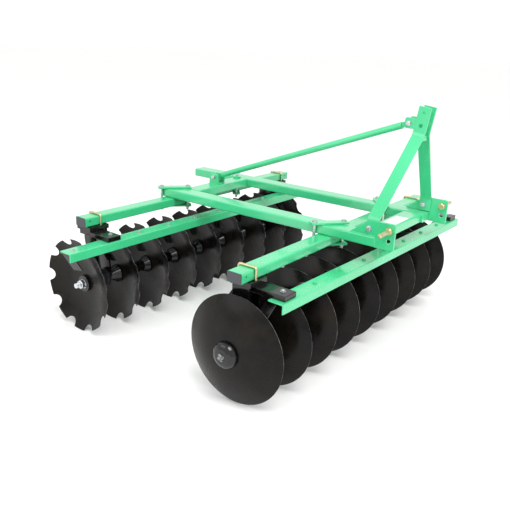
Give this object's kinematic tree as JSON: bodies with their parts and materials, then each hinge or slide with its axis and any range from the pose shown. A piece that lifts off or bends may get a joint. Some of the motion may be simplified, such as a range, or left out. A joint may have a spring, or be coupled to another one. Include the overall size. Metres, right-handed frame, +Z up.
{
  "type": "mounted disc harrow",
  "caption": "Tractor-mounted disc harrow: a green box-section frame with a three-point mast, over a front gang of plain dished discs and a rear gang of notched ones, both turning freely.",
  "frame": {"origin": "on the floor, under the middle of the machine's bounding box", "axes": "+Z up, -Y towards the tractor that carries it, +Y to the rear, -X to the machine's right seen from the tractor's seat"},
  "size_m": [2.1056, 1.749, 1.257],
  "materials": {
    "green_enamel": "light mint-green gloss enamel on steel",
    "black_enamel": "gloss black enamel on steel",
    "black_casting": "black painted cast iron",
    "charcoal_cap": "matt charcoal plastic",
    "yellow_zinc": "pale yellow zinc plate",
    "bright_zinc": "bright zinc plate"
  },
  "bodies": {
    "frame": {"brace_bracket": "green_enamel", "brace_front_bolt": "bright_zinc", "brace_rear_bolt": "bright_zinc", "brace_tube": "green_enamel", "front_cross_member": "green_enamel", "front_gang_beam": "green_enamel", "front_left_bearing": "black_casting", "front_left_clamp": "green_enamel", "front_left_end_cap": "charcoal_cap", "front_left_hanger": "black_enamel", "front_left_u_bolt": "yellow_zinc", "front_right_bearing": "black_casting", "front_right_clamp": "green_enamel", "front_right_end_cap": "charcoal_cap", "front_right_hanger": "black_enamel", "front_right_u_bolt": "yellow_zinc", "front_scraper_bar": "green_enamel", "left_hitch_plate": "green_enamel", "left_link_pin": "yellow_zinc", "left_longitudinal": "green_enamel", "left_mast_leg": "green_enamel", "mast_spacer": "green_enamel", "rear_cross_member": "green_enamel", "rear_gang_beam": "green_enamel", "rear_left_bearing": "black_casting", "rear_left_clamp": "green_enamel", "rear_left_end_cap": "charcoal_cap", "rear_left_hanger": "black_enamel", "rear_left_u_bolt": "yellow_zinc", "rear_right_bearing": "black_casting", "rear_right_clamp": "green_enamel", "rear_right_end_cap": "charcoal_cap", "rear_right_hanger": "black_enamel", "rear_right_u_bolt": "yellow_zinc", "rear_scraper_bar": "green_enamel", "right_hitch_plate": "green_enamel", "right_link_pin": "yellow_zinc", "right_longitudinal": "green_enamel", "right_mast_leg": "green_enamel"},
    "front_gang": {"front_disc_1": "black_enamel", "front_disc_2": "black_enamel", "front_disc_3": "black_enamel", "front_disc_4": "black_enamel", "front_disc_5": "black_enamel", "front_disc_6": "black_enamel", "front_disc_7": "black_enamel", "front_disc_8": "black_enamel", "front_disc_9": "black_enamel", "front_gang_axle": "black_enamel"},
    "rear_gang": {"rear_disc_1": "black_enamel", "rear_disc_2": "black_enamel", "rear_disc_3": "black_enamel", "rear_disc_4": "black_enamel", "rear_disc_5": "black_enamel", "rear_disc_6": "black_enamel", "rear_disc_7": "black_enamel", "rear_disc_8": "black_enamel", "rear_disc_9": "black_enamel", "rear_gang_axle": "black_enamel"}
  },
  "joints": [
    {"name": "front_gang_spin", "type": "hinge", "parent": "frame", "child": "front_gang", "pos_m": [-0.94617, -0.5165, 0.255], "axis": [1, 0, 0], "continuous": true},
    {"name": "rear_gang_spin", "type": "hinge", "parent": "frame", "child": "rear_gang", "pos_m": [0.92811, 0.49772, 0.255], "axis": [-0.9994, 0.0349, 0], "continuous": true}
  ]
}
